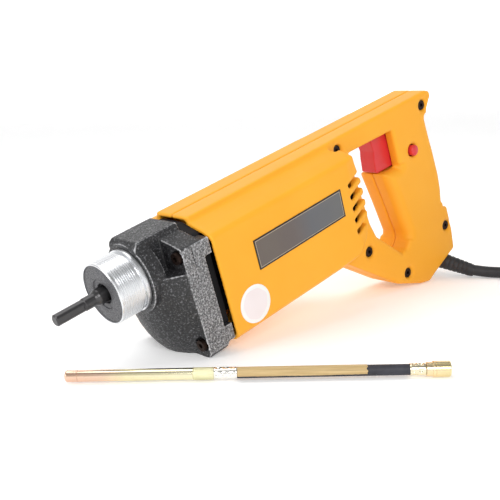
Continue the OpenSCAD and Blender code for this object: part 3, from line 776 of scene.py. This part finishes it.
def make_gear_case():
    """Casting with two beads and a groove on its near side, and an uneven skin."""
    o = copy_node("gear_case_casting", "gear_case")
    join(o, side_bead(46.6, -1, 15.5), side_bead(50.2, 1, 15.5))
    remesh(o, 0.7, 3)
    groove = [(52.6, -39.5), (53.6, -39.5), (53.6, -37.1), (52.6, -37.1)]
    cut(o, prism("groove", groove, 2, 16.5, "Z"))
    co = points_of(o)
    normals = np.empty(len(o.data.vertices) * 3)
    o.data.vertices.foreach_get("normal", normals)
    lumps = np.array([noise.noise(Vector(p) * SKIN_LUMPS) for p in co])
    set_points(o, co + normals.reshape(-1, 3) * lumps[:, None] * SKIN_DEPTH * MM)
    finish_piece(o, "root", CASTING, "casting_paint", "gear_case")


make_gear_case()

# ---- nose --------------------------------------------------------------------------

COLLAR_R = 22.5
COLLAR_END = 23.95
THREAD_START = 2.9
THREAD_PITCH = 1.65
THREAD_TURNS = 9
# The spigot behind the flange, the bore through the collar and the recess in its face.
SPIGOT_R = 16.95
SPIGOT_END = 35
COLLAR_BORE = 14.05
COLLAR_RECESS = 3


def make_collar():
    """Plain front band, fine thread, relief groove and the bright flange at the casting."""
    r = COLLAR_R
    profile = [(0, r - 1.2), (0, r - 0.5), (0.5, r), (THREAD_START - 0.5, r)]
    for i in range(THREAD_TURNS):
        x = THREAD_START + i * THREAD_PITCH
        profile += [(x, r - 0.45), (x + 0.25, r - 0.45), (x + 0.55, r), (x + 1.2, r)]
    profile += [(17.7, r), (17.9, r - 1.4), (20.4, r - 1.4), (20.6, r + 0.1), (20.9, r + 0.3),
                (COLLAR_END - 0.4, r + 0.3), (COLLAR_END, r), (COLLAR_END, SPIGOT_R),
                (SPIGOT_END, SPIGOT_R), (SPIGOT_END, COLLAR_BORE),
                (COLLAR_RECESS, COLLAR_BORE), (COLLAR_RECESS, r - 1.2), (0, r - 1.2)]
    finish_piece(lathe("threaded_collar", profile, TOOL, 160), "root", ALUMINIUM,
                 "machined_aluminium", "coupling_collar", sharp=28)


def make_nose_disc():
    """Dished disc in the collar's mouth, with a raised seal lip round the shaft."""
    profile = [(2.9, 21.2), (2.9, 7.6), (1.6, 7.6), (1.4, 8.0), (1.4, 10.9), (0.75, 11.2),
               (0.55, 11.9), (0.6, 20.6), (0.9, 21.2), (2.9, 21.2)]
    finish_piece(lathe("nose_disc_face", profile, TOOL, 128), "root", GREY_DISC, "grey_disc",
                 "nose_disc", sharp=35)


def make_drive_shaft():
    """Drive shaft with its flat, flared into the bearing seat behind the disc."""
    tip, flat_end, flat_y, r, seat, journal = -38.0, -17.0, -3.7, 4.15, 4.5, 5.95

    def flattened(x, r, angle):
        y = r * math.cos(angle)
        return flat_y / math.cos(angle) if x < flat_end and y < flat_y else r

    profile = [(tip, 1.2), (tip, r - 1), (tip + 0.9, r)]
    profile += [(x, r) for x in spread(tip + 1.5, flat_end - 0.01, 2.0)]
    profile += [(flat_end + 0.01, r), (-15.6, r), (-15.2, seat), (-8, seat)]
    profile += [(-8 + 4 * t, seat + (journal - seat) * t * t * (3 - 2 * t))
                for t in spread(0, 1, 0.12)[1:]]
    profile += [(23, journal), (23.4, 5), (59, 5), (59.4, 2.98), (67.9, 2.98)]
    finish_piece(lathe("drive_shaft", profile, TOOL, 96, flattened), "output",
                 SHAFT_STEEL, "dark_steel", "output_shaft", sharp=30)


make_collar()
make_nose_disc()
make_drive_shaft()

# ---- plates, trigger and lock button -----------------------------------------------

# Corners of the nameplate, and the near side face that it and the badge are stuck to.
PLATE = [(102.5, -1.8), (196.5, -1.2), (196.5, -23.8), (102.5, -24.8)]
SIDE_Y = -40.62
BADGE_AT = (91, -46)
BUTTON_AT = (316, -16)


def at_side(x, z):
    """Frame at x, z in the tool, whose X axis points out of the near side."""
    return TOOL @ Matrix.Translation((x, 0, z)) @ Matrix.Rotation(-math.pi / 2, 4, "Z")


def make_nameplate():
    """Plain plate: a dark border, a thin pale line and a grey field."""
    border, line, field = inset(PLATE, 0.05), inset(PLATE, 1.25), inset(PLATE, 1.75)
    o = bevel(frame_strip("nameplate_border", border, line, SIDE_Y - 0.56, SIDE_Y), 0.12)
    finish_piece(o, "root", PLATE_BORDER, "plate_film", "nameplate", sharp=40)
    o = frame_strip("nameplate_line", line, field, SIDE_Y - 0.46, SIDE_Y)
    finish_piece(o, "root", PLATE_LINE, "plate_film", sharp=30)
    o = prism("nameplate_field", field, SIDE_Y - 0.42, SIDE_Y)
    finish_piece(o, "root", PLATE_FIELD, "plate_film", sharp=30)


def make_badge():
    """Round white sticker with a faint, unevenly worn pink middle."""
    place = at_side(*BADGE_AT)
    near = -SIDE_Y

    def worn(x, r, angle):
        if x <= near + 0.3:
            return r
        return r * (1 + 0.035 * math.sin(3 * angle + 1) + 0.025 * math.sin(7 * angle))

    rim = [(near, 14.1), (near + 0.18, 14.2), (near + 0.27, 14.0), (near + 0.27, 3.0)]
    finish_piece(lathe("badge_rim", rim, place, 96), "root", BADGE_WHITE, "badge_film",
                 "badge", sharp=40)
    face = [(near + 0.2, 11.2), (near + 0.31, 11.3), (near + 0.36, 11.0), (near + 0.38, 2.0)]
    finish_piece(lathe("badge_face", face, place, 96, worn), "root", BADGE_PINK,
                 "badge_film", sharp=40)


def make_trigger():
    """The trigger blade with softened edges."""
    o = remesh(copy_node("trigger_blade", "trigger"), 0.45, 5)
    finish_piece(o, "trigger", RED, "red_plastic", "trigger")


def make_lock_button():
    """Round button with a domed cap and a stem."""
    dome = [(21.38 - 1.9 * (1 - math.cos(t)), 4.7 * math.sin(t))
            for t in spread(0.05, math.pi / 2, 0.13)]
    profile = dome + [(14.5, 4.7), (14.4, 4.5), (14.4, 2.2), (10.1, 2.2), (10.0, 2.0)]
    finish_piece(lathe("lock_button_cap", profile, at_side(*BUTTON_AT), 64), "lock_button",
                 RED, "red_plastic", "lock_button", sharp=40)


def make_spring(name, node, first, last, r, wire, turns):
    """Round-wire spring between two points of the tool frame."""
    first, last = Vector(first), Vector(last)
    length = (last - first).length
    way = (last - first).normalized()
    side = way.orthogonal().normalized()
    up = way.cross(side)
    steps = int(turns * 20)
    data = bpy.data.curves.new(name, "CURVE")
    data.dimensions = "3D"
    data.bevel_depth = wire * MM
    data.bevel_resolution = 3
    data.use_fill_caps = True
    spline = data.splines.new("POLY")
    spline.points.add(steps)
    for i, point in enumerate(spline.points):
        a = 2 * math.pi * turns * i / steps
        at = first + way * (wire + (length - 2 * wire) * i / steps)
        at = at + side * r * math.cos(a) + up * r * math.sin(a)
        point.co = (*(TOOL @ at), 1)
    curve = placed(name, data)
    mesh = bpy.data.meshes.new_from_object(curve)
    bpy.data.objects.remove(curve)
    o = placed(name, mesh)
    finish_piece(o, "root", BRIGHT, "bright_steel", node, sharp=60)
    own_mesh(o)


make_nameplate()
make_badge()
make_trigger()
make_lock_button()
make_spring("trigger_coil", "trigger_spring", (300.1, 0, -7), (306.9, 0, -7),
            4.4, 0.45, 4)
make_spring("lock_coil", "lock_spring", (316, -14.3, -16), (316, -6.1, -16),
            3.2, 0.35, 5)

# ---- poker -------------------------------------------------------------------------

HEAD_R = 17.5
DOME_LEN = 9
HOSE_R = 16.5
# Where each stretch ends along the full-size poker: head, ring, front ferrule, sleeve, bare
# hose and rear ferrule.
HEAD_END, RING_END, FERRULE_END = 380.0, 440.0, 508.0
SLEEVE_END, HOSE_END, TAIL_END = 886.0, 1010.0, 1056.0
# The hose's own ends, inside the ferrules.
HOSE_FRONT, HOSE_REAR = 460.1, 1030.0
DIMPLE_ANGLE = math.radians(172)
DIMPLES = 5
DIMPLE_DEPTH = 3.6
KNURL_DEPTH = 0.9


def poker_piece(name, node, body, material, slot, profile, sides=96, radius=None, sharp=35):
    """A turned piece of the poker that replaces one CAD node."""
    o = lathe(name, profile, POKER, sides, radius)
    finish_piece(o, body, material, slot, node, sharp=sharp)


def knurl(x, r, angle):
    """Two crossing sets of fine grooves, left plain at the ring's ends."""
    if r < HEAD_R or x < HEAD_END + 4 or x > RING_END - 4:
        return r
    turns, pitch = 22, 0.62
    a = math.sin(turns * angle + pitch * x)
    b = math.sin(turns * angle - pitch * x)
    return r - KNURL_DEPTH * max(a, b, 0)


def crimped(*rows):
    """Round dimples pressed in at each row, evenly round the ferrule."""
    def shape(x, r, angle):
        if r < HEAD_R:
            return r
        deep = 0.0
        for row in rows:
            across = ((angle - DIMPLE_ANGLE) * DIMPLES / (2 * math.pi) + 0.5) % 1 - 0.5
            spot = ((x - row) / 6.5) ** 2 + (across / 0.24) ** 2
            deep = max(deep, math.exp(-spot * spot))
        return r - DIMPLE_DEPTH * deep
    return shape


def make_head():
    """Vibrating head: its rounded tip, its tube and the knurled ring behind it."""
    dome = [(DOME_LEN * (1 - math.cos(t)), HEAD_R * math.sin(t))
            for t in spread(0.08, math.pi / 2, 0.12)]
    poker_piece("head_tip", "poker_tip", "poker", HEAD_METAL, "brass",
                dome + [(39.0, HEAD_R), (39.8, HEAD_R - 0.7), (39.8, 12.4), (55, 12.4)])
    poker_piece("head_tube", "poker_tube", "poker", HEAD_METAL, "brass",
                [(40, 12.5), (40, HEAD_R - 0.7), (40.8, HEAD_R), (HEAD_END - 0.8, HEAD_R),
                 (HEAD_END, HEAD_R - 0.7), (HEAD_END, 12.5), (40, 12.5)])
    r = HEAD_R + 0.7
    outer = [(x, r) for x in spread(HEAD_END + 1, RING_END - 1, 1.1)]
    poker_piece("knurled_ring", "poker_ring", "poker", RING_METAL, "brass",
                [(HEAD_END + 0.1, 11.5), (HEAD_END + 0.1, r - 1)] + outer
                + [(RING_END, r - 1), (RING_END, 11.5), (HEAD_END + 0.1, 11.5)],
                176, knurl, sharp=None)


def make_ferrules():
    """Crimped sleeves that hold the hose to the head and to the coupling."""
    r = HEAD_R + 0.5
    outer = [(x, r) for x in spread(RING_END + 1.5, FERRULE_END - 1.5, 1.6)]
    poker_piece("front_crimp", "front_ferrule", "poker", FERRULE_METAL, "ferrule_steel",
                [(RING_END + 0.1, 11), (RING_END + 0.1, r - 1)] + outer
                + [(FERRULE_END, r - 1), (FERRULE_END, HOSE_R + 0.1), (459.5, HOSE_R + 0.1),
                   (459.5, 11), (RING_END + 0.1, 11)],
                120, crimped(452, 474, 496))
    outer = [(x, r) for x in spread(HOSE_END + 1.5, TAIL_END - 1.5, 1.6)]
    poker_piece("rear_crimp", "rear_ferrule", "poker", FERRULE_METAL, "ferrule_steel",
                [(HOSE_END, HOSE_R + 0.1), (HOSE_END, r - 1)] + outer
                + [(TAIL_END, r - 1), (TAIL_END, 13), (1041, 13), (1041, 12), (HOSE_REAR, 12),
                   (HOSE_REAR, HOSE_R + 0.1), (HOSE_END, HOSE_R + 0.1)],
                120, crimped(1020, 1041))


def make_hose():
    """Rubber hose with the fine ribs of its mould."""
    def moulded(x, r, _):
        return r - 0.22 * (0.5 + 0.5 * math.sin(x * 1.4)) if r > 12 else r

    outer = [(x, HOSE_R) for x in spread(HOSE_FRONT + 1.4, HOSE_REAR - 1.5, 1.5)]
    poker_piece("rubber_hose", "hose", "poker", HOSE_RUBBER, "black_rubber",
                [(HOSE_FRONT, 9), (HOSE_FRONT, HOSE_R)] + outer
                + [(HOSE_REAR, HOSE_R), (HOSE_REAR, 9), (HOSE_FRONT, 9)],
                64, moulded, sharp=None)


def make_wrap():
    """Packing sleeve round the top of the hose: a sheet whose edges leave a strip bare."""
    start, stop, rows, columns = -58.0, 201.0, 190, 40
    low, high = HOSE_R + 0.12, HOSE_R + 0.95
    vertices = []
    for r in (low, high):
        for i in range(rows + 1):
            x = FERRULE_END + 1 + (SLEEVE_END - FERRULE_END - 1) * i / rows
            drift = noise.noise(Vector((x * 0.02, 3.7, 0)))
            ragged = noise.noise(Vector((x * 0.11, 9.1, 2)))
            for k in range(columns + 1):
                end = stop + 5 * drift + 2 * ragged
                a = math.radians(start + (end - start) * k / columns)
                pull = 3.5 * noise.noise(Vector((a * 2.2, 5.0, 1))) if i == rows else 0
                swell = 0.10 * noise.noise(Vector((x * 0.05, a * 2, 0))) if r == high else 0
                vertices.append(POKER @ Vector((x + pull, (r + swell) * math.cos(a),
                                                (r + swell) * math.sin(a))))
    wide, half = columns + 1, (rows + 1) * (columns + 1)
    faces = []
    for i in range(rows):
        for k in range(columns):
            a = i * wide + k
            faces += [[a, a + 1, a + wide + 1, a + wide],
                      [half + a, half + a + wide, half + a + wide + 1, half + a + 1]]
        for k in (0, columns):
            a = i * wide + k
            faces.append([a, a + wide, half + a + wide, half + a])
    for i in (0, rows):
        for k in range(columns):
            a = i * wide + k
            faces.append([a, half + a, half + a + 1, a + 1])
    o = add_mesh("tan_wrap", vertices, faces)
    outward(o.data)
    finish_piece(o, "poker", TAN, "tan_sleeve", "hose_sleeve", sharp=50)


def make_nut():
    """Stepped coupling nut: a plain neck, a bevel and the wide threaded part."""
    neck, r, mouth = HEAD_R + 3, NUT_R, NUT_R - 2.5
    profile = [(TAIL_END + 1, 13.9), (TAIL_END + 1, neck - 1), (TAIL_END + 2, neck),
               (TAIL_END + 19, neck), (TAIL_END + 19.6, r - 1.6), (TAIL_END + 22, r),
               (TAIL_END + 27, r), (TAIL_END + 27.6, r - 0.7), (TAIL_END + 29, r - 0.7),
               (TAIL_END + 29.6, r), (POKER_LEN - 2.5, r), (POKER_LEN, r - 1.4)]
    thread = [(POKER_LEN - 1.5 - x, mouth + (0.9 if k % 2 else 0))
              for k, x in enumerate(spread(0, 36, 2))]
    profile += [(POKER_LEN, mouth + 0.8)] + thread
    profile += [(POKER_LEN - 41, mouth), (POKER_LEN - 41, 13.9), (TAIL_END + 1, 13.9)]
    poker_piece("nut_body", "coupling_nut", "poker_nut", NUT_METAL, "brass", profile, 128,
                sharp=25)


make_head()
make_ferrules()
make_hose()
make_wrap()
make_nut()

# ---- carried-over CAD nodes --------------------------------------------------------

CARRIED = {
    BLACK: ("bearing_plate", "fan_baffle", "switch_body", "cord_clamp", "cooling_fan"),
    RUBBER: ("shaft_seal", "plug_body", "coil_tie"),
    # Screws near-black as painted shade for their recesses.
    DARK_SCREW_SHADE: ("shell_screws", "case_screws"),
    BRIGHT: ("output_front_bearing", "armature_front_bearing", "armature_rear_bearing",
             "poker_bearings", "brush_springs"),
    LAMINATIONS: ("armature_core", "stator_core"),
    COPPER: ("armature_windings", "stator_windings", "commutator"),
    BRASS: ("output_rear_bearing", "brush_holders"),
    CARBON: ("carbon_brushes",),
    FILM: ("capacitor",),
    BLUE_WIRE: ("lead_wires",),
    STEEL: ("output_gear", "armature_shaft", "pinion", "clamp_screws", "plug_pins",
            "drive_core", "eccentric_rotor")}
for material, names in CARRIED.items():
    for name in names:
        NODES[name].data.materials.clear()
        NODES[name].data.materials.append(material)

# ---- stage and lights --------------------------------------------------------------

FLOOR_GLOW = 0.22
WALL_GLOW = 0.6
# Soft lights: name, place, width and power in watts.
LIGHTS = (("key", (-0.9, -1.5, 1.0), 0.7, 14), ("top", (-0.1, 0.5, 1.9), 1.5, 15),
          ("side", (-1.7, 0.2, 0.7), 0.7, 7))
LIGHTS_AIM = Vector((0.1, 0, 0.05))
# World brightness from the horizon (0) to the zenith (1).
SKY = ((0.0, 1.0), (0.22, 0.95), (0.42, 0.35), (0.6, 0.75), (0.8, 0.25), (1.0, 0.45))
# The direction, on the floor, in which the backdrop stands.
AWAY = Vector((0.647, 0.734, 0)).normalized()


def make_stage():
    """A pale floor that turns up into a backdrop behind the object."""
    half, run, bend, rise, steps = 6.0, 3.2, 1.2, 4.0, 24
    side = Vector((-AWAY.y, AWAY.x, 0))
    line = [(-4.0, 0.0), (run, 0.0)]
    for i in range(1, steps + 1):
        a = math.pi / 2 * i / steps
        line.append((run + bend * math.sin(a), bend * (1 - math.cos(a))))
    line.append((run + bend, rise))
    vertices = []
    for d, z in line:
        for s in (-half, half):
            vertices.append(AWAY * d + side * s + Vector((0, 0, z)))
    faces = [[2 * i, 2 * i + 1, 2 * i + 3, 2 * i + 2] for i in range(len(line) - 1)]
    floor = add_mesh("studio_floor", vertices, faces)
    p = Paint("studio_floor", rough=0.9, specular=0.0)
    p.color(p.ramp(p.noise(3, 2), (0.3, (0.94, 0.94, 0.94)), (0.7, (0.955, 0.955, 0.955))))
    p.shader.inputs["Emission Color"].default_value = (1, 1, 1, 1)
    p.shader.inputs["Emission Strength"].default_value = FLOOR_GLOW
    floor.data.materials.append(p.material)
    wall = p.material.copy()
    wall.name = "studio_backdrop"
    shader = wall.node_tree.nodes["Principled BSDF"]
    shader.inputs["Emission Strength"].default_value = WALL_GLOW
    floor.data.materials.append(wall)
    for face in floor.data.polygons[1:]:
        face.material_index = 1
    smooth_shading(floor)


def add_light(name, at, size, power):
    data = bpy.data.lights.new(name, "AREA")
    data.energy = power
    data.size = size
    o = placed(name, data)
    o.location = at
    o.rotation_euler = (LIGHTS_AIM - Vector(at)).to_track_quat("-Z", "Y").to_euler()


def light_scene():
    """A white room whose ceiling has soft grey bands, which metal shows as streaks."""
    world = bpy.data.worlds.new("studio")
    bpy.context.scene.world = world
    world.use_nodes = True
    tree = world.node_tree
    parts = tree.nodes.new("ShaderNodeSeparateXYZ")
    ramp = tree.nodes.new("ShaderNodeValToRGB")
    set_stops(ramp, [(at, (level, level, level)) for at, level in SKY])
    tree.links.new(tree.nodes.new("ShaderNodeTexCoord").outputs["Generated"], parts.inputs[0])
    tree.links.new(parts.outputs["Z"], ramp.inputs["Fac"])
    tree.links.new(ramp.outputs["Color"], tree.nodes["Background"].inputs["Color"])
    for light in LIGHTS:
        add_light(*light)
    bpy.context.scene.view_settings.view_transform = "Standard"


make_stage()
light_scene()
